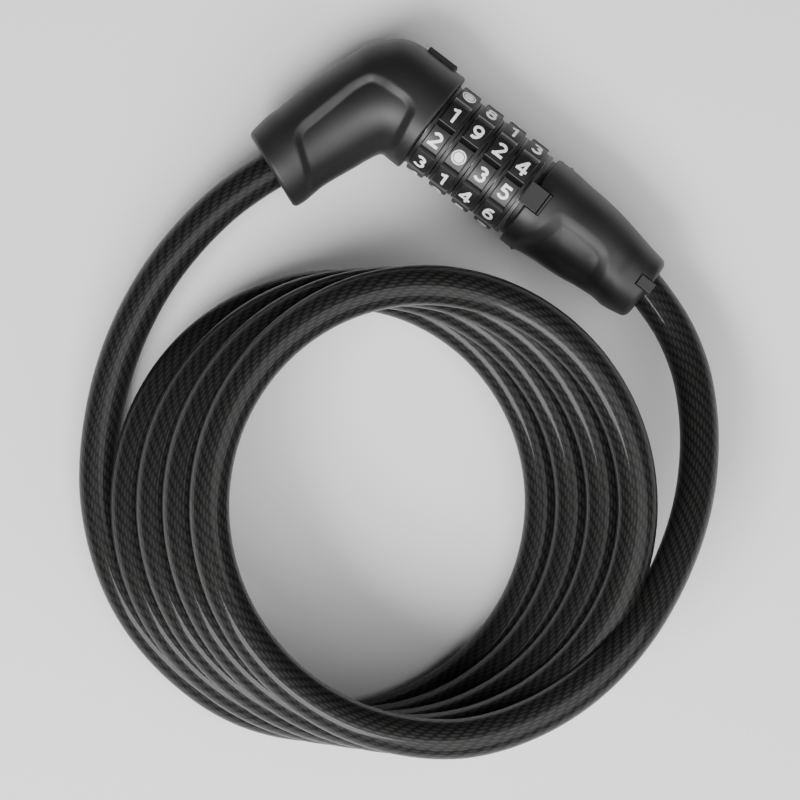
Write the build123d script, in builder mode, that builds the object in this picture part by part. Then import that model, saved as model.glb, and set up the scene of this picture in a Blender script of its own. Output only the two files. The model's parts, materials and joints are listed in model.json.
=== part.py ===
"""Coiled cable lock with four number wheels: an elbow housing and a plug joined by one cable.

The lock lies on a table, +Z up, millimetres. The origin is on the table, under the middle of
the lock head (the housings and the wheels, without the cable). The wheels turn on the lock
axis, which runs along +X from the elbow to the plug.
"""
from math import cos, pi, radians, sin, tan

from build123d import *
import os

os.makedirs("parts", exist_ok=True)

# ---------------------------------------------------------------- driving dimensions (mm)
axis_y = 11.4             # where the lock axis lies
axis_z = 14.2
wheel_pitch = 7.26        # from one number wheel to the next
wheel_width = 6.96
first_wheel_x = -13.8     # middle of the first wheel
tile_radius = 12.8        # top of the number tiles
rim_radius = 11.8         # floor between the wheels' tiles
tile_width = 5.1          # along the lock axis
tile_count = 10
tile_gap = 1.7            # groove between two tiles
groove_depth = 2.0
tile_phase = 20.0         # degrees from straight up to the tile nearest the top
wheel_bore = 9.4          # holds the code ring
ring_width = 6.6
barrel_radius = 6.5
barrel_bore = 3.25
running_gap = 0.08        # radial clearance of a ring on the barrel
relief_radius = 8.3       # room in a code ring for the pin's lug
gate_width = 2.8
slot_width = 2.5
pin_radius = 3.1
lug_width = 2.0
lug_length = 2.2
lug_top = 7.8             # lug tip, from the lock axis
shell = 1.8               # wall of the plastic covers
cable_radius = 5.0
core_radius = 2.4         # steel core of the cable
ferrule_radius = 4.2
bush_radius = 6.4
exit_depth = 3.0          # from an end face in to the cable's end
coil_mean_radius = 55.6   # cable centreline of one turn
turn_rise = 10.2          # height of one turn
turn_shift = 7.38         # sideways lean of the stack for each turn
full_turns = 4
coil_low = (16.8, -86.0)  # middle of the coil on the table
coil_lean = 37.3          # degrees from +X to the way the stack leans

barrel_start = -30.0
barrel_end = 16.0
flange_x = 11.65          # end flange, after the last wheel
plug_face = 12.8
cover_start = 13.9
plug_end = 51.9
plug_turn = -14.0         # degrees, the way the cable leaves the plug
leg_turn = 246.3          # degrees, the way the elbow's second leg points
leg_end = (-42.7, -21.9)  # middle of the elbow's cable face

wheel_xs = [first_wheel_x + wheel_pitch * i for i in range(4)]


def across(x):
    """The plane square to the lock axis at x; its own x runs along +Y and its y up."""
    return Plane(origin=(x, axis_y, axis_z), x_dir=(0, 1, 0), z_dir=(1, 0, 0))


def square_to(point, turn):
    """An upright plane through a point (x, y) at the axis height, its normal turned from +X.

    Its own x runs up, so that a circle's seam stays off the level plane between the covers.
    """
    way = Vector(cos(radians(turn)), sin(radians(turn)), 0)
    return Plane(origin=(point[0], point[1], axis_z), x_dir=(0, 0, 1), z_dir=way)


def moved(point, turn, distance):
    """A point (x, y) moved by a distance the way that turn points."""
    return (point[0] + distance * cos(radians(turn)), point[1] + distance * sin(radians(turn)))


# ---------------------------------------------------------------- elbow covers
# (middle x, middle y, way of the axis, half width, half height) from collar to cable face
elbow_sections = [
    (-17.6, 11.5, 180.0, 14.2, 13.95),
    (-23.6, 11.6, 181.0, 14.25, 13.85),
    (-32.3, 8.6, 213.0, 14.7, 13.8),
    (-37.1, -2.5, 246.3, 12.45, 13.0),
    (-40.9, -14.3, 246.3, 11.4, 11.6),
    (-41.7, -17.4, 246.3, 11.6, 11.7),
    (-42.7, -21.9, 246.3, 11.0, 11.0),
]
end_wall = 2.0
pad_middle = (-25.4, 25.62)                   # raised pad on the outer side
pad_size = (8.8, 1.4, 3.5)                    # along x, y, and the height in each half

for half, far_side in (("top", -1), ("bottom", 1)):
    with BuildPart() as elbow_cover:
        for x, y, turn, half_width, half_height in elbow_sections:
            with BuildSketch(square_to((x, y), turn)):
                Ellipse(half_height, half_width)
        loft()
        with BuildPart(mode=Mode.PRIVATE) as hollow:
            for index, (x, y, turn, half_width, half_height) in enumerate(elbow_sections):
                last = index == len(elbow_sections) - 1
                spot = moved((x, y), turn, -end_wall) if last else (x, y)
                with BuildSketch(square_to(spot, turn)):
                    Ellipse(half_height - shell, half_width - shell)
            loft()
        add(hollow.part, mode=Mode.SUBTRACT)
        with BuildSketch(square_to(moved(leg_end, leg_turn, -4), leg_turn)):
            Circle(bush_radius)
        extrude(amount=8, mode=Mode.SUBTRACT)
        with Locations((-30, 0, axis_z + 20 * far_side)):
            Box(80, 80, 40, mode=Mode.SUBTRACT)
        with Locations((*pad_middle, axis_z - 0.5 * pad_size[2] * far_side)):
            Box(*pad_size)
    elbow_cover.part.label = "elbow_cover_" + half
    export_step(elbow_cover.part, "parts/elbow_cover_" + half + ".step")

# ---------------------------------------------------------------- elbow core and its fittings
core_corner = (-28.1, axis_y)
ferrule_length = 14.0
ferrule_face = moved(leg_end, leg_turn, -exit_depth)

with BuildPart() as elbow_core:
    with BuildSketch(across(-33.5)):
        Circle(9.5)
    extrude(amount=13.5)
    with BuildSketch(square_to(core_corner, leg_turn)):
        Circle(6.8)
    extrude(amount=31)
    fillet(elbow_core.edges().filter_by(GeomType.CIRCLE).sort_by(Axis.X)[0], 2.5)
    with BuildSketch(across(barrel_start)):
        Circle(barrel_radius)
    extrude(amount=12, mode=Mode.SUBTRACT)
    with BuildSketch(square_to(ferrule_face, leg_turn + 180)):
        Circle(ferrule_radius)
    extrude(amount=ferrule_length, mode=Mode.SUBTRACT)
elbow_core.part.label = "elbow_core"
export_step(elbow_core.part, "parts/elbow_core.step")

with BuildPart() as base_plate:
    with BuildSketch(across(-19.9)):
        Circle(11.6)
        Circle(barrel_radius, mode=Mode.SUBTRACT)
    extrude(amount=2.2)
base_plate.part.label = "base_plate"
export_step(base_plate.part, "parts/base_plate.step")

# each cable end: its face, the way it points, the ferrule's length, and how far in the bush is
cable_ends = {
    "elbow": (leg_end, leg_turn, ferrule_length, 0.1),
    "plug": ((plug_end, 11.0), plug_turn, 10.0, 1.6),
}
bush_length = 2.6
for name, (face, turn, length, bush_depth) in cable_ends.items():
    inner_face = moved(face, turn, -exit_depth)
    pin_spot = moved(inner_face, turn, -length * 0.6)

    with BuildPart() as bush:
        with BuildSketch(square_to(moved(face, turn, -bush_depth - bush_length), turn)):
            Circle(bush_radius)
            Circle(cable_radius + 0.25, mode=Mode.SUBTRACT)
        extrude(amount=bush_length)
        chamfer(bush.edges().filter_by(GeomType.CIRCLE).sort_by(SortBy.RADIUS)[-2:], 0.3)
    bush.part.label = name + "_bush"
    export_step(bush.part, "parts/" + name + "_bush.step")

    with BuildPart() as ferrule:
        with BuildSketch(square_to(inner_face, turn + 180)):
            Circle(ferrule_radius)
            Circle(core_radius, mode=Mode.SUBTRACT)
        extrude(amount=length)
        with BuildSketch(Plane(origin=(pin_spot[0], pin_spot[1], axis_z))):
            Circle(1.0)
        extrude(amount=10, both=True, mode=Mode.SUBTRACT)
    ferrule.part.label = name + "_ferrule"
    export_step(ferrule.part, "parts/" + name + "_ferrule.step")

    with BuildPart() as cable_core:
        with BuildSketch(square_to(inner_face, turn + 180)):
            Circle(core_radius)
        extrude(amount=length - 0.5)
        with BuildSketch(Plane(origin=(pin_spot[0], pin_spot[1], axis_z))):
            Circle(1.0)
        extrude(amount=10, both=True, mode=Mode.SUBTRACT)
    cable_core.part.label = name + "_cable_core"
    export_step(cable_core.part, "parts/" + name + "_cable_core.step")

    with BuildPart() as ferrule_pin:
        with BuildSketch(Plane(origin=(pin_spot[0], pin_spot[1], axis_z))):
            Circle(1.0)
        extrude(amount=ferrule_radius - 0.1, both=True)
    ferrule_pin.part.label = name + "_ferrule_pin"
    export_step(ferrule_pin.part, "parts/" + name + "_ferrule_pin.step")

# ---------------------------------------------------------------- barrel, spring and detents
slot_start = -19.0
ball_radius = 0.9
ball_height = barrel_radius - 0.05 - ball_radius
pocket_floor = 3.7

with BuildPart() as barrel:
    with BuildSketch(across(barrel_start)):
        Circle(barrel_radius)
    extrude(amount=barrel_end - barrel_start)
    with BuildSketch(across(barrel_start + 2)):
        Circle(barrel_bore)
    extrude(amount=barrel_end - barrel_start, mode=Mode.SUBTRACT)
    with Locations((0.5 * (slot_start + barrel_end) + 1, axis_y, axis_z - 0.5 * barrel_radius - 1)):
        Box(barrel_end - slot_start + 2, slot_width, barrel_radius + 2, mode=Mode.SUBTRACT)
    with BuildSketch(Plane.XY.offset(axis_z + pocket_floor)):
        with Locations(*[(x, axis_y) for x in wheel_xs]):
            Circle(ball_radius + 0.05)
    extrude(amount=4, mode=Mode.SUBTRACT)
    with BuildSketch(across(plug_face)):
        Circle(barrel_radius + 1)
        Circle(barrel_radius - 0.5, mode=Mode.SUBTRACT)
    extrude(amount=0.9, mode=Mode.SUBTRACT)
barrel.part.label = "barrel"
export_step(barrel.part, "parts/barrel.step")

with BuildPart() as detent_balls:
    with Locations(*[(x, axis_y, axis_z + ball_height) for x in wheel_xs]):
        Sphere(ball_radius)
detent_balls.part.label = "detent_balls"
export_step(detent_balls.part, "parts/detent_balls.step")

with BuildPart() as detent_springs:
    with BuildSketch(Plane.XY.offset(axis_z + pocket_floor)):
        with Locations(*[(x, axis_y) for x in wheel_xs]):
            Circle(0.8)
            Circle(0.5, mode=Mode.SUBTRACT)
    extrude(amount=ball_height - pocket_floor - 0.75)
detent_springs.part.label = "detent_springs"
export_step(detent_springs.part, "parts/detent_springs.step")

spring_start = barrel_start + 2.4
spring_length = 6.6
spring_wire = 0.35
with BuildPart() as ejector_spring:
    with BuildLine() as spring_line:
        Helix(
            pitch=1.5, height=spring_length, radius=2.6,
            center=(spring_start, axis_y, axis_z), direction=(1, 0, 0),
        )
    with BuildSketch(Plane(origin=spring_line.edges()[0] @ 0, z_dir=spring_line.edges()[0] % 0)):
        Circle(spring_wire)
    sweep(is_frenet=True)
ejector_spring.part.label = "ejector_spring"
export_step(ejector_spring.part, "parts/ejector_spring.step")

# ---------------------------------------------------------------- number wheels and code rings
for number, x in enumerate(wheel_xs, start=1):
    with BuildPart() as number_wheel:
        with BuildSketch(across(x - 0.5 * wheel_width)):
            Circle(rim_radius)
            Circle(wheel_bore, mode=Mode.SUBTRACT)
        extrude(amount=wheel_width)
        with BuildSketch(across(x - 0.5 * tile_width)):
            Circle(tile_radius)
            Circle(rim_radius - 0.5, mode=Mode.SUBTRACT)
        extrude(amount=tile_width)
        chamfer(number_wheel.edges().filter_by(GeomType.CIRCLE).sort_by(SortBy.RADIUS)[-2:], 0.25)
        with BuildSketch(across(x - 0.5 * tile_width)):
            with PolarLocations(tile_radius, tile_count, start_angle=72 - tile_phase):
                Rectangle(2 * groove_depth, tile_gap)
        extrude(amount=tile_width, mode=Mode.SUBTRACT)
    number_wheel.part.label = f"number_wheel_{number}"
    export_step(number_wheel.part, f"parts/number_wheel_{number}.step")

    with BuildPart() as code_ring:
        with BuildSketch(across(x - 0.5 * ring_width)):
            Circle(wheel_bore)
            Circle(relief_radius, mode=Mode.SUBTRACT)
        extrude(amount=ring_width)
        with BuildSketch(across(x + 0.1)):
            Circle(wheel_bore - 0.5)
            Circle(barrel_radius + running_gap, mode=Mode.SUBTRACT)
        extrude(amount=0.5 * ring_width - 0.1)
        with Locations((x, axis_y, axis_z - 0.5 * relief_radius)):
            Box(ring_width + 1, gate_width, relief_radius, mode=Mode.SUBTRACT)
    code_ring.part.label = f"code_ring_{number}"
    export_step(code_ring.part, f"parts/code_ring_{number}.step")

# ---------------------------------------------------------------- end flange and its clip
with BuildPart() as end_flange:
    with BuildSketch(across(flange_x)):
        Circle(11.9)
        Circle(barrel_radius, mode=Mode.SUBTRACT)
        with Locations((0, -barrel_radius)):
            Rectangle(gate_width, 3.6, mode=Mode.SUBTRACT)
    extrude(amount=0.95)
end_flange.part.label = "end_flange"
export_step(end_flange.part, "parts/end_flange.step")

with BuildPart() as retaining_clip:
    with BuildSketch(across(plug_face + 0.05)):
        Circle(7.9)
        Circle(barrel_radius - 0.45, mode=Mode.SUBTRACT)
        with Locations((0, -7)):
            Rectangle(5.0, 5.0, mode=Mode.SUBTRACT)
    extrude(amount=0.8)
retaining_clip.part.label = "retaining_clip"
export_step(retaining_clip.part, "parts/retaining_clip.step")

# ---------------------------------------------------------------- locking pin
pin_start = -20.5
pin_end = 27.0
cross_pin_x = 22.0
cross_pin_radius = 1.2

with BuildPart() as locking_pin:
    with BuildSketch(across(pin_start)):
        Circle(pin_radius)
    extrude(amount=pin_end - pin_start)
    chamfer(locking_pin.edges().sort_by(Axis.X)[0], 0.6)
    with Locations(*[(x - 1.75, axis_y, axis_z - 0.5 * lug_top) for x in wheel_xs]):
        Box(lug_length, lug_width, lug_top)
    with BuildSketch(Plane.XZ.offset(-axis_y)):
        with Locations((cross_pin_x, axis_z)):
            Circle(cross_pin_radius)
    extrude(amount=8, both=True, mode=Mode.SUBTRACT)
locking_pin.part.label = "locking_pin"
export_step(locking_pin.part, "parts/locking_pin.step")

# ---------------------------------------------------------------- plug core, cross pin, cover
plug_face_end = 46.0
index_tab = (12.05, 17.3, 8.4, 14.4)          # lowest and highest x, then y
tab_gap = 0.9                                 # between the tab and the end of its notch

with BuildPart() as plug_core:
    with BuildSketch(across(plug_face)):
        Circle(11.2)
    extrude(amount=cover_start - plug_face)
    with BuildSketch(across(plug_face)):
        Circle(8.6)
    extrude(amount=40 - plug_face)
    with BuildSketch(across(40)):
        Circle(7.9)
    extrude(amount=plug_face_end - 40)
    low_x, high_x, low_y, high_y = index_tab
    with Locations((0.5 * (plug_face + high_x), 0.5 * (low_y + high_y), axis_z + 10.3)):
        Box(high_x - plug_face, high_y - low_y, 6.4)
    with Locations((0.5 * (low_x + high_x), 0.5 * (low_y + high_y), axis_z + 12.75)):
        Box(high_x - low_x, high_y - low_y, 1.5)
    with BuildSketch(across(plug_face)):
        Circle(8.2)
    extrude(amount=barrel_end + 0.6 - plug_face, mode=Mode.SUBTRACT)
    with BuildSketch(across(plug_face)):
        Circle(pin_radius)
    extrude(amount=pin_end - plug_face, mode=Mode.SUBTRACT)
    with BuildSketch(Plane.XZ.offset(-axis_y)):
        with Locations((cross_pin_x, axis_z)):
            Circle(cross_pin_radius)
    extrude(amount=12, both=True, mode=Mode.SUBTRACT)
    plug_exit, plug_way, plug_ferrule_length = cable_ends["plug"][:3]
    with BuildSketch(square_to(moved(plug_exit, plug_way, -exit_depth), plug_way + 180)):
        Circle(ferrule_radius)
    extrude(amount=plug_ferrule_length, mode=Mode.SUBTRACT)
plug_core.part.label = "plug_core"
export_step(plug_core.part, "parts/plug_core.step")

with BuildPart() as cross_pin:
    with BuildSketch(Plane.XZ.offset(-axis_y)):
        with Locations((cross_pin_x, axis_z)):
            Circle(cross_pin_radius)
    extrude(amount=8.4, both=True)
cross_pin.part.label = "cross_pin"
export_step(cross_pin.part, "parts/cross_pin.step")

# outer radius of the plug cover along the lock axis
cover_profile = [
    (cover_start, 12.9), (17.2, 13.15), (18.0, 13.3), (19.0, 12.9), (20.2, 12.4), (26.5, 12.0),
    (32.9, 11.3), (39.4, 10.4), (44.7, 10.0), (50.4, 9.0), (51.5, 8.3), (plug_end, 7.5),
]
cover_end_wall = 1.7
with BuildPart() as plug_cover:
    with BuildSketch(Plane.XY.offset(axis_z)):
        with BuildLine():
            outline = [(x, axis_y + radius) for x, radius in cover_profile]
            Polyline((cover_start, axis_y), *outline, (plug_end, axis_y), close=True)
        make_face()
    revolve(axis=Axis((0, axis_y, axis_z), (1, 0, 0)))
    with BuildSketch(Plane.XY.offset(axis_z)):
        with BuildLine():
            inside = [(x, axis_y + radius - 1.5) for x, radius in cover_profile[:-3]]
            wall_x = plug_end - cover_end_wall
            Polyline(
                (cover_start, axis_y), *inside, (wall_x, axis_y + 7.6), (wall_x, axis_y), close=True
            )
        make_face()
    revolve(axis=Axis((0, axis_y, axis_z), (1, 0, 0)), mode=Mode.SUBTRACT)
    with BuildSketch(square_to(moved(plug_exit, plug_way, -5), plug_way)):
        Circle(bush_radius)
    extrude(amount=10, mode=Mode.SUBTRACT)
    with Locations((cover_start, 0.5 * (low_y + high_y), axis_z + 12)):
        Box(2 * (high_x - cover_start + tab_gap), high_y - low_y + 0.2, 8, mode=Mode.SUBTRACT)
    with Locations((50.6, axis_y - 0.1, axis_z + 8.6)):
        Box(4.4, 2.8, 1.6)
plug_cover.part.label = "plug_cover"
export_step(plug_cover.part, "parts/plug_cover.step")

# ---------------------------------------------------------------- the cable
# The cable leaves the elbow, comes down on to the table and winds up into the coil.
elbow_route = [
    (-41.5, -19.15, 14.2), (-46.7, -31.1, 14.2), (-49.9, -49.2, 13.2), (-49.9, -67.0, 10.7),
    (-45.8, -86.4, 7.8), (-37.3, -105.0, 5.6), (-26.0, -120.3, 5.0), (-8.3, -133.5, 5.0),
    (12.0, -139.5, 5.0), (33.5, -138.9, 5.0),
]
# It leaves the top of the coil and comes down to the plug.
plug_route = [
    (77.5, -111.5, 45.8), (89.5, -98.9, 45.6), (97.7, -82.2, 43.8), (100.9, -63.6, 40.0),
    (99.5, -44.8, 34.0), (94.7, -27.3, 27.4), (86.6, -12.6, 21.4), (76.6, -1.2, 17.2),
    (67.8, 5.1, 15.0), (58.5, 9.35, 14.2), (49.18, 11.68, 14.2),
]


def arc_radii(route):
    """The radius of the arc at each inner point: as large as its two runs allow."""
    points = [Vector(*point) for point in route]
    radii = []
    for before, here, after in zip(points, points[1:], points[2:]):
        half_turn = radians((here - before).get_angle(after - here)) / 2
        shorter = min((here - before).length, (after - here).length)
        radii.append(0.45 * shorter / tan(half_turn))
    return radii


for name, route in (("cable_elbow_lead", elbow_route), ("cable_plug_lead", plug_route)):
    radii = arc_radii(route)
    with BuildPart() as lead:
        with BuildLine() as lead_line:
            FilletPolyline(*route, radius=radii)
        path = lead_line.wires()[0]
        with BuildSketch(Plane(origin=path @ 0, z_dir=path % 0)):
            Circle(cable_radius)
        sweep(path=path)
    lead.part.label = name
    export_step(lead.part, "parts/" + name + ".step")
    section_times_length = pi * cable_radius**2 * path.length
    print(name, "radii", [round(radius) for radius in radii])
    print(name, "length", round(path.length, 1), "volume", round(lead.part.volume),
          "section times length", round(section_times_length))

coil_height = turn_rise * full_turns + 2 * cable_radius
lean = Vector(cos(radians(coil_lean)), sin(radians(coil_lean)), 0)
coil_way = lean * (turn_shift * coil_height / turn_rise) + Vector(0, 0, coil_height)
with BuildPart() as cable_coil:
    with BuildSketch():
        with Locations(coil_low):
            Circle(coil_mean_radius + cable_radius)
            Circle(coil_mean_radius - cable_radius, mode=Mode.SUBTRACT)
    extrude(amount=coil_way.length, dir=coil_way.normalized())
cable_coil.part.label = "cable_coil"
export_step(cable_coil.part, "parts/cable_coil.step")
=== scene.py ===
"""Looks of the coiled cable lock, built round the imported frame. Metres, +Z up."""
import json
import math

import bmesh
import bpy
import numpy as np
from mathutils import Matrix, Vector

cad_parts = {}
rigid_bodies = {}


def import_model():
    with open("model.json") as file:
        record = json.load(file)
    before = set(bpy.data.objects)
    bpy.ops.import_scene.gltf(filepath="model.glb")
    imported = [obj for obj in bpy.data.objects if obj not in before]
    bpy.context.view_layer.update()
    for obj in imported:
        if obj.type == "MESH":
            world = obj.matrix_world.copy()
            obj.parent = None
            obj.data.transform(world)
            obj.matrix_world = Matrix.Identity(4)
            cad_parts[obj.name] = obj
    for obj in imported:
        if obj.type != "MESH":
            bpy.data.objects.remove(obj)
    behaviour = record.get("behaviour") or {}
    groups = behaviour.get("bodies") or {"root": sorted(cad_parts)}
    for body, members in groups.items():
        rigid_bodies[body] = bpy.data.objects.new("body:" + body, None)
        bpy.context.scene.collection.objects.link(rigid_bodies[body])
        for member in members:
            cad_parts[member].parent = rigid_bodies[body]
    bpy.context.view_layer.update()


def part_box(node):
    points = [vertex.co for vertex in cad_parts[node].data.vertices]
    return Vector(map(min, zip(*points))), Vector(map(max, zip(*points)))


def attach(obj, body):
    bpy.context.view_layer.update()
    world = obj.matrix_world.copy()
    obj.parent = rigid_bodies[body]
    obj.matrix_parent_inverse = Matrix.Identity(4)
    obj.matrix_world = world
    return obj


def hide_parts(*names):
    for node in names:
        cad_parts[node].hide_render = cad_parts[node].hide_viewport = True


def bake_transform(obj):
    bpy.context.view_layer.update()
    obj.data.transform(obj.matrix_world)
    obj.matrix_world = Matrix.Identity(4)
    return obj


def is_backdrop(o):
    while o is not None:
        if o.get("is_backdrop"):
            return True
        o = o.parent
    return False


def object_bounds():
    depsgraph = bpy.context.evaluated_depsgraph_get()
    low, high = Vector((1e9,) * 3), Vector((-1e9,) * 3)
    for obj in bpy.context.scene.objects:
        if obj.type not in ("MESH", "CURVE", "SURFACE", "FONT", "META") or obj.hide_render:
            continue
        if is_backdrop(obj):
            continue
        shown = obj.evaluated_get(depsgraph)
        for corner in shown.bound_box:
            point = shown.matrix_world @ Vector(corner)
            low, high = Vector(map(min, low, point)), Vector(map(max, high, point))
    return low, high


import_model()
MM = 0.001

# ------------------------------------------------------------------ places taken from the frame
wheel_low, wheel_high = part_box("number_wheel_1")
axis_y = (wheel_low.y + wheel_high.y) / 2
axis_z = (wheel_low.z + wheel_high.z) / 2
tile_radius = (wheel_high.y - wheel_low.y) / 2
wheel_middles = []
for wheel in range(1, 5):
    low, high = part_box(f"number_wheel_{wheel}")
    wheel_middles.append((low.x + high.x) / 2)
HEAD_X = -6.6 * MM            # the head's outlines are measured from this point of the lock axis
CABLE = 10 * MM               # cable diameter


def head(x, y, z=0.0):
    """A point of the lock head: millimetres from the axis point at HEAD_X."""
    return Vector((HEAD_X + x * MM, axis_y + y * MM, axis_z + z * MM))


# ------------------------------------------------------------------ camera
VIEW_TURN = math.radians(37.3)
VIEW_DISTANCE = 0.87
VIEW_MIDDLE = (0.0188, -0.0499)               # the point that the camera looks straight down at
camera_data = bpy.data.cameras.new("camera")
camera_data.lens = 152.7
camera_data.sensor_width = 36
camera_data.clip_end = 10
camera = bpy.data.objects.new("camera", camera_data)
bpy.context.scene.collection.objects.link(camera)
camera.location = (*VIEW_MIDDLE, axis_z + VIEW_DISTANCE)
camera.rotation_euler = (0, 0, VIEW_TURN)
bpy.context.scene.camera = camera


# ------------------------------------------------------------------ materials
GRAIN_HEIGHT = 0.00006        # of moulded plastic
MARK_HEIGHT = 0.00004         # of the marks on metal
DASH_HEIGHT = 0.0001          # of the sleeve's weave
DASH_COLUMNS = 40             # dashes round the cable
DASH_PERIOD = 3.3 * MM        # from one dash to the next along the cable
DASH_STAGGER = 0.3            # how far each column is shifted past the one beside it


def principled(made):
    return made.node_tree.nodes["Principled BSDF"]


def material(name, colour, roughness, metallic=0.0, **more):
    made = bpy.data.materials.new(name)
    made.use_nodes = True
    shader = principled(made)
    shader.inputs["Base Color"].default_value = (*colour, 1)
    shader.inputs["Roughness"].default_value = roughness
    shader.inputs["Metallic"].default_value = metallic
    for socket, value in more.items():
        shader.inputs[socket.replace("_", " ")].default_value = value
    return made


def link(made, from_socket, to_socket):
    made.node_tree.links.new(from_socket, to_socket)


def math_node(made, operation, a, b=None, clamp=False):
    """A Math node; a and b are numbers or sockets. Returns its output."""
    node = made.node_tree.nodes.new("ShaderNodeMath")
    node.operation = operation
    node.use_clamp = clamp
    for socket, value in zip(node.inputs, (a, b)):
        if value is None:
            continue
        if isinstance(value, (int, float)):
            socket.default_value = value
        else:
            link(made, value, socket)
    return node.outputs[0]


def noise(made, scale, detail=2.0):
    spots = made.node_tree.nodes.new("ShaderNodeTexCoord")
    node = made.node_tree.nodes.new("ShaderNodeTexNoise")
    node.inputs["Scale"].default_value = scale
    node.inputs["Detail"].default_value = detail
    link(made, spots.outputs["Object"], node.inputs["Vector"])
    return node.outputs["Fac"]


def spread(made, fac, low, high):
    """A value between low and high as fac goes from 0.3 to 0.7."""
    node = made.node_tree.nodes.new("ShaderNodeMapRange")
    node.inputs["From Min"].default_value = 0.3
    node.inputs["From Max"].default_value = 0.7
    node.inputs["To Min"].default_value = low
    node.inputs["To Max"].default_value = high
    link(made, fac, node.inputs["Value"])
    return node.outputs["Result"]


def bump(made, height, strength, distance):
    node = made.node_tree.nodes.new("ShaderNodeBump")
    node.inputs["Strength"].default_value = strength
    node.inputs["Distance"].default_value = distance
    link(made, height, node.inputs["Height"])
    link(made, node.outputs["Normal"], principled(made).inputs["Normal"])


def two_tone(made, fac, dark, light):
    node = made.node_tree.nodes.new("ShaderNodeMix")
    node.data_type = "RGBA"
    node.inputs["A"].default_value = (*dark, 1)
    node.inputs["B"].default_value = (*light, 1)
    link(made, fac, node.inputs["Factor"])
    link(made, node.outputs["Result"], principled(made).inputs["Base Color"])


def moulded(name, dark, light, roughness, grain=2600, strength=0.12):
    """Moulded plastic: a fine grain, and a slightly uneven shine."""
    made = material(name, light, roughness)
    fine = noise(made, grain)
    bump(made, fine, strength, GRAIN_HEIGHT)
    two_tone(made, fine, dark, light)
    uneven = spread(made, noise(made, 90, 4), roughness - 0.04, roughness + 0.05)
    link(made, uneven, principled(made).inputs["Roughness"])
    principled(made).inputs["Specular IOR Level"].default_value = 0.45
    return made


def metal(name, colour, roughness, stretch=(1, 1, 1)):
    """Turned or brushed metal, with fine marks drawn out along one axis."""
    made = material(name, colour, roughness, metallic=1.0)
    spots = made.node_tree.nodes.new("ShaderNodeTexCoord")
    scale = made.node_tree.nodes.new("ShaderNodeMapping")
    scale.inputs["Scale"].default_value = stretch
    marks = made.node_tree.nodes.new("ShaderNodeTexNoise")
    marks.inputs["Scale"].default_value = 900
    link(made, spots.outputs["Object"], scale.inputs["Vector"])
    link(made, scale.outputs["Vector"], marks.inputs["Vector"])
    uneven = spread(made, marks.outputs["Fac"], roughness * 0.8, roughness * 1.3)
    link(made, uneven, principled(made).inputs["Roughness"])
    bump(made, marks.outputs["Fac"], 0.1, MARK_HEIGHT)
    return made


def braided_jacket():
    """A woven sleeve of short dashes under a smooth clear layer."""
    made = material("jacket", (0.02, 0.02, 0.02), 0.45, Coat_Weight=0.32, Coat_Roughness=0.08)
    principled(made).inputs["Coat IOR"].default_value = 1.4
    principled(made).inputs["Specular IOR Level"].default_value = 0.12
    uv = made.node_tree.nodes.new("ShaderNodeUVMap")
    uv.uv_map = "UVMap"
    parts = made.node_tree.nodes.new("ShaderNodeSeparateXYZ")
    link(made, uv.outputs["UV"], parts.inputs["Vector"])
    columns = math_node(made, "MULTIPLY", parts.outputs["X"], DASH_COLUMNS)
    column = math_node(made, "FLOOR", columns)
    across = math_node(made, "FRACT", columns)
    rows = math_node(made, "MULTIPLY", parts.outputs["Y"], 1 / DASH_PERIOD)
    shifted = math_node(made, "ADD", rows, math_node(made, "MULTIPLY", column, DASH_STAGGER))
    along = math_node(made, "FRACT", shifted)
    # each dash is high along its middle and falls to nothing at its ends and sides
    ends = math_node(made, "PINGPONG", along, 0.5)
    sides = math_node(made, "PINGPONG", across, 0.5)
    past_end = math_node(made, "SUBTRACT", ends, 0.09)
    past_side = math_node(made, "SUBTRACT", sides, 0.05)
    end_rise = math_node(made, "MULTIPLY", past_end, 5.0, clamp=True)
    side_rise = math_node(made, "MULTIPLY", past_side, 4.0, clamp=True)
    dash = math_node(made, "MULTIPLY", end_rise, side_rise)
    two_tone(made, dash, (0.006, 0.006, 0.006), (0.0205, 0.0202, 0.0193))
    bump(made, dash, 0.35, DASH_HEIGHT)
    return made


jacket = braided_jacket()
housing = moulded("housing", (0.010, 0.010, 0.010), (0.014, 0.014, 0.014), 0.46)
wheel_plastic = moulded("wheel_plastic", (0.009, 0.009, 0.009), (0.013, 0.013, 0.013), 0.42)
tab_plastic = moulded("tab_plastic", (0.014, 0.014, 0.014), (0.021, 0.021, 0.021), 0.5)
ring_plastic = moulded("ring_plastic", (0.03, 0.03, 0.03), (0.04, 0.04, 0.04), 0.4)
bush_rubber = moulded("bush_rubber", (0.012, 0.012, 0.012), (0.02, 0.02, 0.02), 0.62)
paint = moulded("paint", (0.90, 0.90, 0.89), (0.94, 0.94, 0.93), 0.42, strength=0.05)
steel = metal("steel", (0.56, 0.56, 0.57), 0.3, (0.05, 1, 1))
zinc = metal("zinc", (0.36, 0.36, 0.37), 0.42)
# painted shade: the plug core is zinc made near black, standing in for the shade in the narrow gap
# round its flange
black_zinc = moulded("black_zinc", (0.006, 0.006, 0.006), (0.01, 0.01, 0.01), 0.5)
# painted light: the groove walls are the wheel's own dark plastic, made light grey to stand in for
# light falling on them
groove_plastic = moulded("groove_plastic", (0.12, 0.12, 0.12), (0.16, 0.16, 0.16), 0.75)
# painted shade: the groove floors are made near black, darker than the wheel plastic, for the shade
# deep in the slots
groove_floor = moulded("groove_floor", (0.002, 0.002, 0.002), (0.003, 0.003, 0.003), 0.8)
yellow_brass = metal("yellow_brass", (0.72, 0.50, 0.22), 0.3)
strand = metal("strand", (0.5, 0.5, 0.5), 0.35, (0.2, 1, 1))


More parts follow.
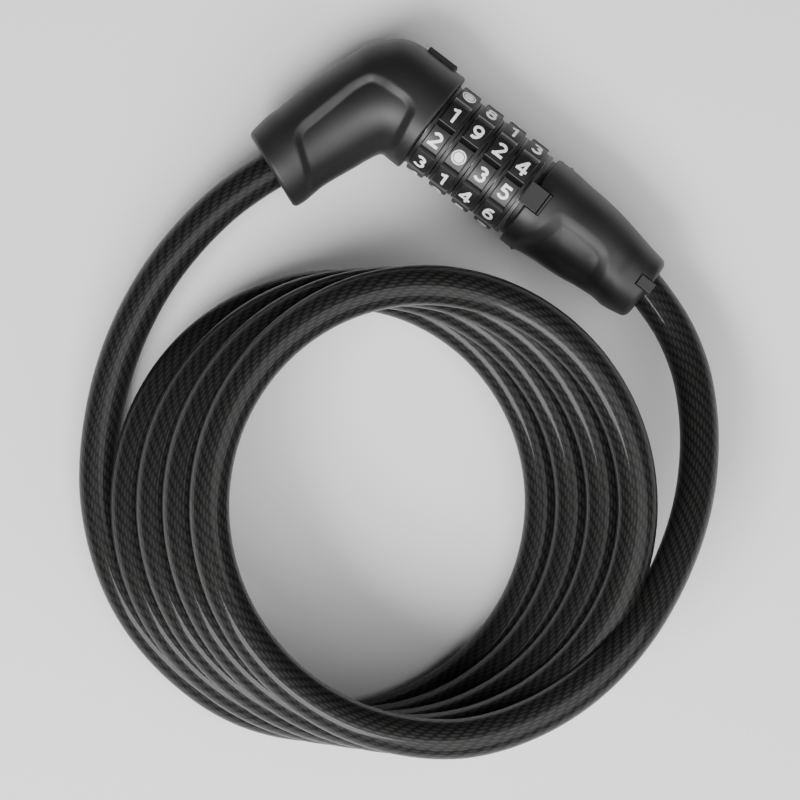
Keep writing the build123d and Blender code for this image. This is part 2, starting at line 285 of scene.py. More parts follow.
# ------------------------------------------------------------------ the cable's route
# out of the elbow and down on to the table
elbow_points = [
    (-0.0415, -0.01915, 0.0142), (-0.0467, -0.0311, 0.0142), (-0.0499, -0.0492, 0.0132),
    (-0.0499, -0.0670, 0.0107), (-0.0458, -0.0864, 0.0078), (-0.0373, -0.1050, 0.0056),
    (-0.0260, -0.1203, 0.0050), (-0.0083, -0.1335, 0.0050), (0.0120, -0.1395, 0.0050),
]
# off the top of the coil and down to the plug
plug_points = [
    (0.0895, -0.0989, 0.0456), (0.0977, -0.0822, 0.0438), (0.1009, -0.0636, 0.0400),
    (0.0995, -0.0448, 0.0340), (0.0947, -0.0273, 0.0274), (0.0866, -0.0126, 0.0214),
    (0.0766, -0.0012, 0.0172), (0.0678, 0.0051, 0.0150), (0.0585, 0.00935, 0.0142),
    (0.04918, 0.01168, 0.0142),
]
FULL_TURNS = 4
POINTS_PER_TURN = 16
TURN_RISE = 10.2 * MM         # of each turn over the one below
TURN_SHIFT = 7.38 * MM        # of each turn's middle, along the lean
COIL_RADIUS = (56.2 * MM, 57.2 * MM)          # across the lean and along it
coil_start = Vector((0.0197, -0.0838))        # middle of the lowest turn, where it starts
lean = Vector((math.cos(VIEW_TURN), math.sin(VIEW_TURN)))
square = Vector((-lean.y, lean.x))


def coil_points():
    """The coil's turns, anticlockwise and upwards, from the low start to the top of the stack."""
    points = []
    for step in range(-1, FULL_TURNS * POINTS_PER_TURN + 1):
        turns = step / POINTS_PER_TURN
        angle = 2 * math.pi * (0.75 + turns)
        middle = coil_start + lean * (TURN_SHIFT * turns)
        out = lean * (COIL_RADIUS[0] * math.cos(angle)) + square * (COIL_RADIUS[1] * math.sin(angle))
        height = CABLE / 2 + TURN_RISE * max(turns, 0)
        points.append((middle.x + out.x, middle.y + out.y, height))
    return points


def spline_line(points, resolution=10):
    """Points read from the NURBS spline that has these control points."""
    data = bpy.data.curves.new("route", "CURVE")
    data.dimensions = "3D"
    data.resolution_u = resolution
    spline = data.splines.new("NURBS")
    spline.points.add(len(points) - 1)
    for spot, point in zip(spline.points, points):
        spot.co = (*point, 1)
    spline.order_u = 3
    spline.use_endpoint_u = True
    route = bpy.data.objects.new("route", data)
    bpy.context.scene.collection.objects.link(route)
    mesh = bpy.data.meshes.new_from_object(route)
    line = [vertex.co.copy() for vertex in mesh.vertices]
    bpy.data.objects.remove(route)
    bpy.data.meshes.remove(mesh)
    bpy.data.curves.remove(data)
    return line


def new_object(name, data):
    made = bpy.data.objects.new(name, data)
    bpy.context.scene.collection.objects.link(made)
    return made


def directions(line):
    """The direction of a line at each of its points."""
    ends = zip(line[:1] + line[:-1], line[1:] + line[-1:])
    return [(after - before).normalized() for before, after in ends]


def skin(first, rings, sides):
    """The faces between rings of vertices, with the first ring's vertices counted from first."""
    faces = []
    for i in range(rings - 1):
        for k in range(sides):
            a, b = first + i * sides + k, first + i * sides + (k + 1) % sides
            faces.append((a, b, b + sides, a + sides))
    return faces


def tube(name, line, ways, radius, sides, first_distance, frame_up):
    """A closed tube along a line with the direction ways[i] at its point line[i].

    Its UV map holds the share of the way round and the distance. frame_up is the direction
    that the first ring's zero angle points at, carried along without twist. The last ring's
    direction and distance are returned with the tube, so that a second tube can go on.
    """
    rows = []
    up = frame_up
    distance = first_distance
    distances = []
    for i, (point, way) in enumerate(zip(line, ways)):
        up = (up - way * up.dot(way)).normalized()
        side = way.cross(up)
        if i:
            distance += (point - line[i - 1]).length
        distances.append(distance)
        ring = []
        for k in range(sides):
            turn = 2 * math.pi * k / sides
            ring.append(point + (up * math.cos(turn) + side * math.sin(turn)) * radius)
        rows.append(ring)
    verts = [spot for ring in rows for spot in ring]
    faces = skin(0, len(line), sides)
    uvs = []
    for i in range(len(line) - 1):
        for k in range(sides):
            low, high = k / sides, (k + 1) / sides
            near, far = distances[i], distances[i + 1]
            uvs += [(low, near), (high, near), (high, far), (low, far)]
    last = (len(line) - 1) * sides
    faces.append(tuple(range(sides - 1, -1, -1)))
    faces.append(tuple(last + k for k in range(sides)))
    uvs += [(0.5, distances[0])] * sides + [(0.5, distances[-1])] * sides
    mesh = bpy.data.meshes.new(name)
    mesh.from_pydata(verts, [], faces)
    layer = mesh.uv_layers.new(name="UVMap")
    layer.data.foreach_set("uv", [value for uv in uvs for value in uv])
    mesh.shade_smooth()
    mesh.set_sharp_from_angle(angle=math.radians(50))
    return new_object(name, mesh), up, distance


cable_line = spline_line(elbow_points + coil_points() + plug_points)
join_point = Vector(plug_points[0])
join = min(range(len(cable_line)), key=lambda i: (cable_line[i] - join_point).length)
main_line = cable_line[:join + 1]
lead_line = cable_line[join:]
cable_ways = directions(cable_line)

CABLE_SIDES = 40
straight_up = Vector((0, 0, 1))
cable, join_up, join_distance = tube(
    "coiled_cable", main_line, cable_ways[:join + 1], CABLE / 2, CABLE_SIDES, 0, straight_up,
)
plug_lead, _, _ = tube(
    "plug_cable", lead_line, cable_ways[join:], CABLE / 2, CABLE_SIDES, join_distance, join_up,
)
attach(cable, "root")
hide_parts("cable_coil", "cable_elbow_lead")
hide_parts("cable_plug_lead")
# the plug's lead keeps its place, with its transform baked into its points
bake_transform(plug_lead)


# ------------------------------------------------------------------ housings
EDGE_STEPS = 6                # rows in a rounded edge


def smooth(value):
    """Eases from 0 to 1 as value goes from 0 to 1."""
    value = np.clip(value, 0.0, 1.0)
    return value * value * (3 - 2 * value)


def hermite(rows, places, slopes, at):
    """The row at one place along a smooth curve through rows."""
    i = min(max(int(np.searchsorted(places, at)) - 1, 0), len(rows) - 2)
    span = places[i + 1] - places[i]
    t = (at - places[i]) / span
    a = 2 * t**3 - 3 * t**2 + 1
    b = t**3 - 2 * t**2 + t
    c = t**3 - t**2
    return a * rows[i] + b * span * slopes[i] + (1 - a) * rows[i + 1] + c * span * slopes[i + 1]


def round_ended(rows, count, first_edge, last_edge):
    """Sections along a smooth curve through rows, with both ends' edges rounded off.

    Gives each section with its distances from the two ends. The edges' radii are
    first_edge and last_edge.
    """
    rows = np.array(rows, float)
    # both ends of a section move, so a step between two rows measures root two too much
    steps = np.linalg.norm(np.diff(rows[:, :4], axis=0), axis=1) / math.sqrt(2)
    places = np.concatenate([[0], np.cumsum(steps)])
    slopes = np.gradient(rows, places, axis=0)
    whole = places[-1]
    turns = np.linspace(0, math.pi / 2, EDGE_STEPS, endpoint=False)
    near_first = first_edge * (1 - np.cos(turns))
    near_last = whole - last_edge * (1 - np.cos(turns))
    between = np.linspace(first_edge, whole - last_edge, count)
    sections = []
    for at in np.concatenate([near_first, between, near_last[::-1]]):
        row = hermite(rows, places, slopes, at)
        for edge, distance in ((first_edge, at), (last_edge, whole - at)):
            if distance < edge:
                row = shrunk(row, edge - math.sqrt(edge**2 - (edge - distance) ** 2))
        sections.append((row, at, whole - at))
    return sections


def inside_distance(points, outline):
    """How far points (x, y) lie inside a closed outline; outside it is below zero."""
    outline = np.array(outline, float)
    nearest = np.full(len(points), 1e9)
    inside = np.zeros(len(points), bool)
    for a, b in zip(outline, np.roll(outline, -1, axis=0)):
        edge = b - a
        share = np.clip(((points - a) @ edge) / (edge @ edge), 0, 1)
        gap = np.linalg.norm(points - a - share[:, None] * edge, axis=1)
        nearest = np.minimum(nearest, gap)
        crosses = (a[1] > points[:, 1]) != (b[1] > points[:, 1])
        with np.errstate(divide="ignore", invalid="ignore"):
            meets = a[0] + (points[:, 1] - a[1]) * edge[0] / edge[1]
        inside ^= crosses & (points[:, 0] < meets)
    return np.where(inside, nearest, -nearest)


def rounded(corners, radius, steps=8):
    """A closed outline with its corners rounded to about a radius."""
    points = []
    corners = np.array(corners, float)
    neighbours = zip(np.roll(corners, 1, axis=0), corners, np.roll(corners, -1, axis=0))
    for before, here, after in neighbours:
        back, ahead = before - here, after - here
        reach = min(radius, 0.48 * np.linalg.norm(back), 0.48 * np.linalg.norm(ahead))
        start = here + back / np.linalg.norm(back) * reach
        end = here + ahead / np.linalg.norm(ahead) * reach
        for t in np.linspace(0, 1, steps):
            points.append((1 - t) ** 2 * start + 2 * t * (1 - t) * here + t * t * end)
    return np.array(points)


SHARP = math.radians(32)      # edges with a larger turn than this stay sharp


def finish_mesh(name, verts, faces, finish):
    mesh = bpy.data.meshes.new(name)
    mesh.from_pydata([tuple(v) for v in verts], [], faces)
    work = bmesh.new()
    work.from_mesh(mesh)
    bmesh.ops.recalc_face_normals(work, faces=work.faces)
    work.to_mesh(mesh)
    work.free()
    mesh.shade_smooth()
    mesh.set_sharp_from_angle(angle=SHARP)
    mesh.materials.append(finish)
    return new_object(name, mesh)


def walled(name, outer, inner, closed):
    """A wall between outer and inner rows of points (millimetres from the head's point).

    closed says that each row goes all the way round; else it is one half of the way.
    """
    rows, columns = outer.shape[:2]
    verts = [head(*point) for layer in (outer, inner) for row in layer for point in row]

    def at(layer, row, column):
        return (layer * rows + row) * columns + column % columns

    faces = []
    last = columns if closed else columns - 1
    for row in range(rows - 1):
        for column in range(last):
            for layer in (0, 1):
                faces.append((
                    at(layer, row, column), at(layer, row, column + 1),
                    at(layer, row + 1, column + 1), at(layer, row + 1, column),
                ))
        if not closed:
            for column in (0, columns - 1):
                faces.append((at(0, row, column), at(0, row + 1, column),
                              at(1, row + 1, column), at(1, row, column)))
    for row in (0, rows - 1):
        for column in range(last):
            faces.append((at(0, row, column), at(0, row, column + 1),
                          at(1, row, column + 1), at(1, row, column)))
    return finish_mesh(name, verts, faces, housing)


def section(row, angles):
    """Points of an oval with one end at (x0, y0), the other at (x1, y1), and a half height."""
    x0, y0, x1, y1, high = row
    cos_, sin_ = np.cos(angles), np.sin(angles)
    x = (x0 + x1) / 2 + (x0 - x1) / 2 * cos_
    y = (y0 + y1) / 2 + (y0 - y1) / 2 * cos_
    return np.stack([x, y, high * sin_], axis=1)


def shrunk(row, by):
    """A section made smaller all round."""
    x0, y0, x1, y1, high = row
    reach = math.hypot(x1 - x0, y1 - y0)
    dx, dy = (x1 - x0) / reach * by, (y1 - y0) / reach * by
    return np.array([x0 + dx, y0 + dy, x1 - dx, y1 - dy, high - by])


def round_section(row, radius):
    """A circle of a given radius about a section's middle."""
    x0, y0, x1, y1, high = row
    reach = math.hypot(x1 - x0, y1 - y0) / 2
    mx, my = (x0 + x1) / 2, (y0 + y1) / 2
    dx, dy = (x0 - mx) / reach * radius, (y0 - my) / reach * radius
    return np.array([mx + dx, my + dy, mx - dx, my - dy, radius])


def dented(rows, angles, depth):
    """Rows of section points pushed in towards their section's middle by depth(point, angle)."""
    layers = []
    for row in rows:
        points = section(row, angles)
        middle = np.array([(row[0] + row[2]) / 2, (row[1] + row[3]) / 2, 0])
        inwards = middle - points
        inwards /= np.linalg.norm(inwards, axis=1)[:, None]
        layers.append(points + inwards * depth(points, angles)[:, None])
    return np.array(layers)


# the elbow: (outer side x, y, inner side x, y, half height) from the wheels to the cable
elbow_rows = [
    (-11.0, 14.35, -11.0, -14.05, 14.0), (-13.7, 14.35, -13.2, -14.0, 14.0),
    (-18.0, 14.35, -15.0, -13.95, 14.0), (-22.6, 14.4, -16.2, -13.95, 13.95),
    (-26.7, 14.0, -16.9, -14.4, 13.9), (-30.4, 12.6, -17.4, -15.1, 13.8),
    (-33.4, 9.9, -17.8, -15.8, 13.6), (-36.5, 5.9, -18.2, -16.7, 13.3),
    (-38.7, 0.4, -18.9, -18.3, 12.8), (-40.7, -5.4, -19.8, -20.6, 12.3),
    (-42.5, -11.0, -21.0, -23.4, 11.9), (-43.7, -16.2, -22.3, -26.5, 11.7),
    (-44.7, -20.6, -23.6, -30.0, 11.7), (-45.7, -23.9, -24.25, -32.8, 11.5),
    (-46.25, -27.2, -24.9, -35.6, 11.3), (-46.6, -30.5, -26.1, -38.5, 11.0),
]
WALL = 1.9
COLLAR_BORE = 11.75           # radius of the opening at the wheels
COLLAR_DEPTH = 2.2
CABLE_BORE = 6.5              # radius of the opening round a rubber bush
CABLE_WALL = 2.3              # thickness of an end wall
elbow_sections = round_ended(elbow_rows, count=120, first_edge=0.6, last_edge=1.1)
elbow_outer = [row for row, _, _ in elbow_sections]
elbow_inner = []
for row, passed, left in elbow_sections:
    if passed < COLLAR_DEPTH:
        elbow_inner.append(round_section(row, COLLAR_BORE))
    elif left < CABLE_WALL:
        elbow_inner.append(round_section(row, CABLE_BORE))
    else:
        elbow_inner.append(shrunk(row, WALL))

# the grip panel let into the elbow's top, underside and inner side
elbow_panel = rounded([
    (-36.8, -23.4), (-32.4, -4.8), (-30.2, -0.6), (-27.4, 0.2), (-19.2, 0.4), (-16.5, -1.0),
    (-15.5, -7.5), (-14.2, -16), (-10, -30), (-15, -38), (-21, -35.2), (-28.9, -28.9),
], 3.2)
PANEL_DEPTH = 1.45
PANEL_STEP = 2.15             # width of the slope at the panel's edge
PANEL_EASE = 0.15             # how much of the slope is eased at its top and foot
PANEL_SHALLOW = 0.6           # share of the depth that is left near the wheels
PANEL_DEEPENS = (19.0, 16.0)  # distance along the axis where it gets deeper, and over how much
PANEL_SIDE = (0.2, 0.45)      # sine of the angle where it starts on the inner side, and over how much


def elbow_dent(points, angles):
    share = inside_distance(points[:, :2], elbow_panel) / PANEL_STEP + 0.5
    step = (1 - PANEL_EASE) * np.clip(share, 0, 1) + PANEL_EASE * smooth(share)
    side = smooth((np.abs(np.sin(angles)) - PANEL_SIDE[0]) / PANEL_SIDE[1])
    deeper = smooth((-points[:, 0] - PANEL_DEEPENS[0]) / PANEL_DEEPENS[1])
    share_of_depth = PANEL_SHALLOW + (1 - PANEL_SHALLOW) * deeper
    return PANEL_DEPTH * share_of_depth * step * np.where(np.cos(angles) < 0, side, 1)


HALF_STEPS = 110
SEAM = 0.004                  # radians left open between the two halves
for name, start in (("elbow_top_shell", 0), ("elbow_bottom_shell", math.pi)):
    angles = np.linspace(start + SEAM, start + math.pi - SEAM, HALF_STEPS)
    outer = dented(elbow_outer, angles, elbow_dent)
    inner = np.array([section(row, angles) for row in elbow_inner])
    shell = walled(name, outer, inner, closed=False)
    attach(shell, "root")
    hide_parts("elbow_cover_top" if start == 0 else "elbow_cover_bottom")

# the plug: (along the axis, upper side, lower side) from the wheels to the cable
plug_rows = [
    (20.5, 12.45, 13.0), (22.5, 12.5, 13.0), (24.6, 12.5, 12.9), (26.7, 12.4, 12.45),
    (31.0, 12.0, 11.95), (36.0, 11.7, 11.7), (40.0, 11.3, 11.3), (43.0, 10.85, 10.8),
    (46.0, 10.3, 10.5), (49.0, 9.7, 10.35), (51.3, 9.25, 10.6), (53.2, 8.85, 10.45),
    (56.4, 8.3, 9.85), (58.5, 8.0, 9.4),
]
FLANGE_BORE = 11.35           # radius of the opening round the plug core's flange
FLANGE_DEPTH = 0.8
PLUG_WALL = WALL - 0.3
plug_rows = [(x, back, x, -front, (back + front) / 2) for x, back, front in plug_rows]
plug_sections = round_ended(plug_rows, count=96, first_edge=0.6, last_edge=1.5)
plug_outer = [row for row, _, _ in plug_sections]
plug_inner = []
for row, passed, left in plug_sections:
    if passed < FLANGE_DEPTH:
        plug_inner.append(round_section(row, FLANGE_BORE))
    elif left < CABLE_WALL:
        plug_inner.append(round_section(row, CABLE_BORE))
    else:
        plug_inner.append(shrunk(row, PLUG_WALL))

plug_panel = rounded([
    (27.6, -4.9), (28.4, 1.0), (32.8, 1.8), (41.2, 1.7), (45.6, 0.4), (47.8, -4.0),
    (47.6, -16), (23.6, -16), (24.0, -11.3),
], 3.0)
PLUG_PANEL_DEPTH = 0.8
PLUG_PANEL_STEP = 3.2         # width of the slope at the panel's edge
PLUG_HOLLOW_DEPTH = 0.6       # the panel's middle is this much deeper still,
PLUG_HOLLOW_REACH = 7.0       # at this distance from its edge
PLUG_PANEL_SIDE = (0.15, 0.5)
RIB_HEIGHT = 0.45             # a small ridge at the plug's sides
RIB_X = 24.6
RIB_WIDTH = 0.4
RIB_REACH = 0.12


def plug_dent(points, angles):
    deep = inside_distance(points[:, :2], plug_panel)
    step = PLUG_PANEL_DEPTH * np.clip(deep / PLUG_PANEL_STEP, 0, 1)
    step = step + PLUG_HOLLOW_DEPTH * smooth(deep / PLUG_HOLLOW_REACH)
    side = smooth((np.abs(np.sin(angles)) - PLUG_PANEL_SIDE[0]) / PLUG_PANEL_SIDE[1])
    rib_along = np.exp(-((points[:, 0] - RIB_X) / RIB_WIDTH) ** 2)
    rib_round = np.exp(-((np.sin(angles) / RIB_REACH) ** 2))
    return step * np.where(np.cos(angles) < 0, side, 1) - RIB_HEIGHT * rib_along * rib_round


PLUG_STEPS = 220
angles = np.linspace(0, 2 * math.pi, PLUG_STEPS, endpoint=False)
outer = dented(plug_outer, angles, plug_dent)
inner = np.array([section(row, angles) for row in plug_inner])
plug_shell = walled("plug_shell", outer, inner, closed=True)


def block(name, low, high, finish, bevel=0.12):
    """A box with small round edges; its corners are millimetres from the head's point."""
    mesh = bpy.data.meshes.new(name)
    work = bmesh.new()
    bmesh.ops.create_cube(work, size=1)
    for vert in work.verts:
        vert.co = head(*[(a + b) / 2 + (b - a) * c for a, b, c in zip(low, high, vert.co)])
    if bevel:
        edges = list(work.edges)
        bmesh.ops.bevel(
            work, geom=edges, offset=bevel * MM, segments=2, affect="EDGES", profile=0.5,
        )
    work.to_mesh(mesh)
    work.free()
    mesh.materials.append(finish)
    return new_object(name, mesh)


def cut_away(piece, *blocks):
    """Cut blocks out of a piece, and delete the blocks."""
    for tool in blocks:
        cutter = piece.modifiers.new("cut", "BOOLEAN")
        cutter.operation = "DIFFERENCE"
        cutter.solver = "EXACT"
        cutter.object = tool
    bpy.context.view_layer.update()
    shape = piece.evaluated_get(bpy.context.evaluated_depsgraph_get())
    mesh = bpy.data.meshes.new_from_object(shape)
    piece.modifiers.clear()
    piece.data = mesh
    for tool in blocks:
        bpy.data.objects.remove(tool)


cut_away(
    plug_shell,
    block("tab_room", (18, -3.3, 5), (25.0, 3.3, 16), housing, 0),
    block("end_room", (54.8, -1.8, 7.7), (62, 1.6, 12), housing, 0),
)
plug_shell.data.set_sharp_from_angle(angle=SHARP)
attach(plug_shell, "plug")
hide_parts("plug_cover")

index_tab = block("index_tab", (18.6, -3.05, 11.9), (23.95, 3.05, 13.56), tab_plastic)
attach(index_tab, "plug")
tab_foot = block("tab_foot", (24.2, -3.05, 7.9), (24.85, 3.05, 12.55), tab_plastic)
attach(tab_foot, "plug")
end_tab = block("end_tab", (55.1, -1.5, 7.0), (59.4, 1.3, 9.35), tab_plastic)
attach(end_tab, "plug")
elbow_pad = block("elbow_pad", (-23.1, 12.2, -3.4), (-14.3, 15.35, 3.4), housing, 0.35)
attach(elbow_pad, "root")


# ------------------------------------------------------------------ the wheels' numbers
STROKE = 0.76                 # width of a digit's stroke, millimetres
DIGIT_SIZE = 1.05             # scale of the strokes below
RAISED = 0.07                 # top of the paint over a tile
SUNK = -0.2                   # foot of the paint, inside the tile
STROKE_RUN = 0.5              # longest run between two places on a stroke
TILES = 10
TILE_TURN = 360 / TILES
DOT_STEPS = 48
# nought is a round dot with a shallow groove inside its rim: (radius, height)
DOT_PROFILE = (
    (1.95, SUNK), (1.95, 0.06), (1.87, 0.1), (1.62, 0.1), (1.52, -0.06), (1.40, -0.06),
    (1.28, 0.05), (0.6, 0.07),
)


def arc(middle, radii, start, end, steps=26):
    turns = np.radians(np.linspace(start, end, steps))
    return [
        (middle[0] + radii[0] * math.cos(t), middle[1] + radii[1] * math.sin(t)) for t in turns
    ]


# each digit's strokes, x to the right and y up, millimetres from its middle
digits = {
    1: [[(0.35, -2.0), (0.35, 2.0)], [(0.6, 1.6), (-0.95, 1.15)]],
    2: [arc((0.0, 0.75), (1.05, 0.82), 160, -38) + [(-1.05, -1.62)], [(-1.45, -1.55), (1.45, -1.55)]],
    3: [arc((-0.1, 0.93), (0.98, 0.66), 150, -90), arc((-0.1, -0.65), (1.15, 0.92), 90, -152)],
    4: [[(0.55, -2.0), (0.55, 2.0)], [(0.5, 1.8), (-1.25, -0.8)], [(-1.6, -0.85), (1.5, -0.85)]],
    5: [[(-0.95, 1.55), (1.2, 1.55)], [(-0.72, 1.95), (-0.86, 0.0)],
        arc((-0.05, -0.6), (1.12, 0.95), 128, -152)],
    6: [arc((0.0, -0.6), (1.08, 0.95), 0, 360, 40), arc((0.35, -0.45), (1.43, 2.0), 170, 68)],
    7: [[(-1.35, 1.55), (1.35, 1.55)], [(1.05, 1.7), (-0.5, -2.0)]],
    8: [arc((0.0, 0.88), (0.86, 0.67), 0, 360, 36), arc((0.0, -0.72), (1.08, 0.83), 0, 360, 40)],
    9: [arc((0.0, 0.6), (1.08, 0.95), 0, 360, 40), arc((-0.35, 0.45), (1.43, 2.0), -10, -112)],
}


def ribbon(stroke, width):
    """Left and right edge points of a stroke of a given width, short runs between them."""
    points = []
    for a, b in zip(stroke, stroke[1:]):
        parts = max(1, round(math.dist(a, b) / STROKE_RUN))
        for k in range(parts):
            points.append((a[0] + (b[0] - a[0]) * k / parts, a[1] + (b[1] - a[1]) * k / parts))
    points.append(stroke[-1])
    closed = math.dist(points[0], points[-1]) < 1e-6 and len(points) > 4
    pairs = []
    for i, point in enumerate(points):
        before, after = points[max(i - 1, 0)], points[min(i + 1, len(points) - 1)]
        if closed and i == 0:
            before = points[-2]
        if closed and i == len(points) - 1:
            after = points[1]
        dx, dy = after[0] - before[0], after[1] - before[1]
        reach = math.hypot(dx, dy)
        nx, ny = -dy / reach * width / 2, dx / reach * width / 2
        pairs.append(((point[0] + nx, point[1] + ny), (point[0] - nx, point[1] - ny)))
    return pairs


def on_wheel(middle_x, angle, u, v, height):
    """A place on a wheel: u along the axis and v round it, millimetres, from a tile's middle."""
    turn = math.radians(angle) + v * MM / tile_radius
    reach = tile_radius + height * MM
    y = axis_y + reach * math.sin(turn)
    z = axis_z + reach * math.cos(turn)
    return Vector((middle_x + u * MM, y, z))


FIRST_NUMBERS = (0, 8, 1, 3)  # the number on each wheel's tile farthest round to the back
FIRST_ANGLE = 56              # that tile's place, in degrees from straight up, towards +Y
GROOVE_WIDTH = 1.7
GROOVE_DEPTH = 2.0
GROOVE_HALF_LENGTH = 2.54
PAINT_SHEET_EDGE = 0.05            # how far the painted sheets reach past a groove's sides and floor
PAINT_SHEET_TOP = 0.12             # depth at which the side walls' painted light starts
FLOOR_THICKNESS = 0.15


def in_groove(middle_x, angle, u, side, depth):
    """A place in the groove between two tiles: u along the axis, side across it, and how deep."""
    turn = math.radians(angle)
    reach = tile_radius - depth * MM
    y = axis_y + reach * math.sin(turn) + side * MM * math.cos(turn)
    z = axis_z + reach * math.cos(turn) - side * MM * math.sin(turn)
    return Vector((middle_x + u * MM, y, z))


# sheets on two walls and a floor, the walls painted light for lit walls and the floor painted dark
# for shade: from one side to the other, and from one depth to the other
HALF_GROOVE = GROOVE_WIDTH / 2
GROOVE_PAINT_SHEETS = (
    (-HALF_GROOVE - PAINT_SHEET_EDGE, -HALF_GROOVE + PAINT_SHEET_EDGE, PAINT_SHEET_TOP, GROOVE_DEPTH),
    (HALF_GROOVE - PAINT_SHEET_EDGE, HALF_GROOVE + PAINT_SHEET_EDGE, PAINT_SHEET_TOP, GROOVE_DEPTH),
    (-HALF_GROOVE, HALF_GROOVE, GROOVE_DEPTH - FLOOR_THICKNESS, GROOVE_DEPTH + PAINT_SHEET_EDGE),
)
SHADE_FLOOR_BOX = 2                 # the place of the floor sheet, painted dark as shade, among the groove's sheets
BOX_FACES = ((0, 1, 2, 3), (4, 5, 6, 7), (0, 1, 5, 4), (1, 2, 6, 5), (2, 3, 7, 6), (3, 0, 4, 7))


def add_groove_painted_light_and_shade(verts, faces, middle_x, angle):
    """Thin sheets on a groove's two side walls, painted light as lit walls, and on its floor, painted
    dark as shade.
    """
    for near, far, top, bottom in GROOVE_PAINT_SHEETS:
        first = len(verts)
        for side in (near, far):
            for u, depth in ((-1, top), (1, top), (1, bottom), (-1, bottom)):
                verts.append(in_groove(middle_x, angle, u * GROOVE_HALF_LENGTH, side, depth))
        for corners in BOX_FACES:
            faces.append(tuple(first + corner for corner in corners))


def add_stroke(verts, faces, middle_x, angle, stroke):
    """A digit's stroke: a bar of four corners round, with flat ends."""
    pairs = ribbon([(u * DIGIT_SIZE, v * DIGIT_SIZE) for u, v in stroke], STROKE)
    first = len(verts)
    for left, right in pairs:
        for (u, v), height in ((left, RAISED), (right, RAISED), (right, SUNK), (left, SUNK)):
            verts.append(on_wheel(middle_x, angle, u, v, height))
    faces += skin(first, len(pairs), 4)
    end = first + 4 * (len(pairs) - 1)
    faces.append((first, first + 1, first + 2, first + 3))
    faces.append((end + 3, end + 2, end + 1, end))


def add_dot(verts, faces, middle_x, angle):
    """The round dot that stands for nought."""
    first = len(verts)
    for radius, height in DOT_PROFILE:
        for k in range(DOT_STEPS):
            turn = 2 * math.pi * k / DOT_STEPS
            u, v = radius * math.cos(turn), radius * math.sin(turn)
            verts.append(on_wheel(middle_x, angle, u, v, height))
    faces += skin(first, len(DOT_PROFILE), DOT_STEPS)
    last = first + (len(DOT_PROFILE) - 1) * DOT_STEPS
    faces.append(tuple(first + k for k in range(DOT_STEPS)))
    faces.append(tuple(last + k for k in range(DOT_STEPS)))


for wheel, middle_x in enumerate(wheel_middles):
    verts = []
    faces = []
    for tile in range(TILES):
        add_groove_painted_light_and_shade(verts, faces, middle_x, FIRST_ANGLE - TILE_TURN * (tile + 0.5))
    grooves = finish_mesh(f"groove_walls_{wheel + 1}", verts, faces, groove_plastic)
    grooves.data.materials.append(groove_floor)
    # floor sheets take the painted-shade finish, wall sheets the painted-light one
    for face in grooves.data.polygons:
        box = face.index // len(BOX_FACES) % len(GROOVE_PAINT_SHEETS)
        face.material_index = 1 if box == SHADE_FLOOR_BOX else 0
    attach(grooves, f"wheel_{wheel + 1}")
    verts = []
    faces = []
    for number in range(TILES):
        angle = FIRST_ANGLE - TILE_TURN * ((number - FIRST_NUMBERS[wheel]) % TILES)
        for stroke in digits.get(number, ()):
            add_stroke(verts, faces, middle_x, angle, stroke)
        if number == 0:
            add_dot(verts, faces, middle_x, angle)
    numbers = finish_mesh(f"numbers_{wheel + 1}", verts, faces, paint)
    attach(numbers, f"wheel_{wheel + 1}")


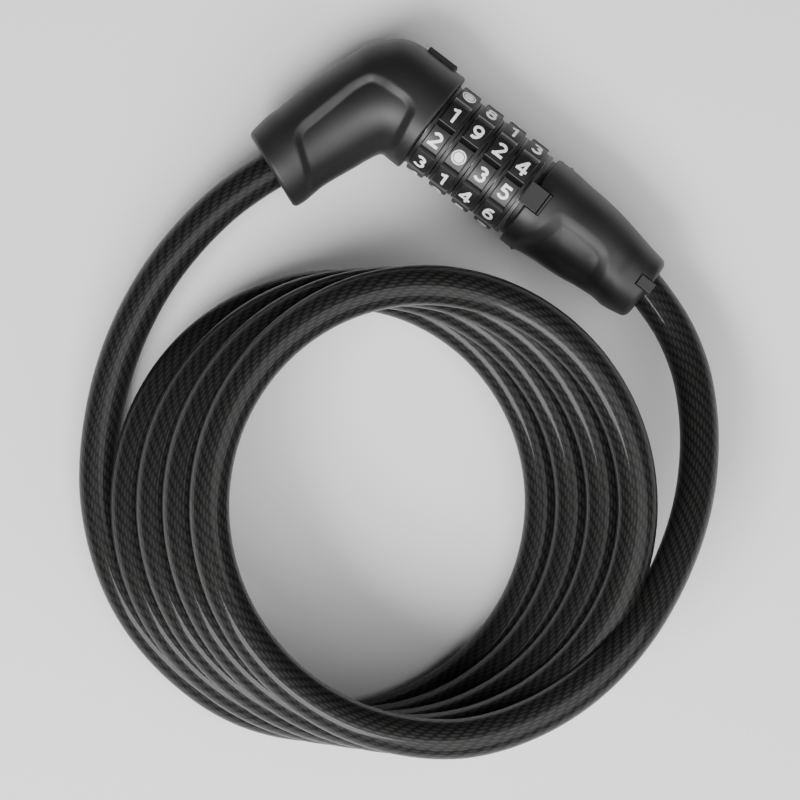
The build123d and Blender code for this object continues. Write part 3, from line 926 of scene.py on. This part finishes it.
# ------------------------------------------------------------------ what each CAD node is made of
finishes = {                  # by the start of a node's name
    "number_wheel": wheel_plastic,
    "end_flange": ring_plastic,
    # the plug core is made near black as painted shade for the gap at its flange
    "plug_core": black_zinc,
    "elbow_core": zinc,
    "base_plate": zinc,
    "barrel": zinc,
    "code_ring": yellow_brass,
    "locking_pin": steel,
    "detent": steel,
    "ejector": steel,
    "retaining": steel,
    "cross_pin": steel,
    "elbow_ferrule": zinc,
    "plug_ferrule": zinc,
    "elbow_bush": bush_rubber,
    "plug_bush": bush_rubber,
    "elbow_cable_core": strand,
    "plug_cable_core": strand,
    "elbow_cover": housing,
    "plug_cover": housing,
}
for node in bpy.context.scene.objects:
    if node.type != "MESH":
        continue
    for start, finish in finishes.items():
        if node.name.startswith(start):
            node.data.materials.clear()
            node.data.materials.append(finish)
for piece in (cable, plug_lead):
    piece.data.materials.append(jacket)

# ------------------------------------------------------------------ floor and lights
FLOOR_Z = -0.0002             # just under the object
bpy.ops.mesh.primitive_plane_add(size=6, location=(0, 0, FLOOR_Z))
floor = bpy.context.object
floor.name = "floor"
floor.data.materials.append(material("floor", (0.86, 0.86, 0.86), 0.7))
floor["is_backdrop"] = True


def softbox(name, location, aim, size, power):
    """A rectangular area light, turned towards aim."""
    data = bpy.data.lights.new(name, "AREA")
    data.shape = "RECTANGLE"
    data.size, data.size_y = size
    data.energy = power
    box = new_object(name, data)
    box.location = location
    box.rotation_euler = (Vector(aim) - Vector(location)).to_track_quat("-Z", "Y").to_euler()


def from_view(right, up_, height):
    """A place given along the picture's right and up, from the middle of the object."""
    flat = Vector(VIEW_MIDDLE) + lean * right + square * up_
    return (flat.x, flat.y, height)


light_aim = from_view(0, 0, 0.02)
softbox("key", from_view(-0.42, -0.52, 0.85), light_aim, size=(0.55, 0.45), power=14)
softbox("fill", from_view(0.36, -0.50, 0.95), light_aim, size=(1.7, 1.2), power=21)

world = bpy.data.worlds.new("world")
bpy.context.scene.world = world
world.use_nodes = True
# brighter overhead than towards the horizon
background = world.node_tree.nodes["Background"]
sky_place = world.node_tree.nodes.new("ShaderNodeTexCoord")
split = world.node_tree.nodes.new("ShaderNodeSeparateXYZ")
rise = world.node_tree.nodes.new("ShaderNodeMapRange")
rise.inputs["From Min"].default_value = 0.2
rise.inputs["From Max"].default_value = 0.9
rise.inputs["To Min"].default_value = 0.36
rise.inputs["To Max"].default_value = 1.2
world.node_tree.links.new(sky_place.outputs["Generated"], split.inputs["Vector"])
world.node_tree.links.new(split.outputs["Z"], rise.inputs["Value"])
world.node_tree.links.new(rise.outputs["Result"], background.inputs["Strength"])

# ------------------------------------------------------------------ sizes and the end
low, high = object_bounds()
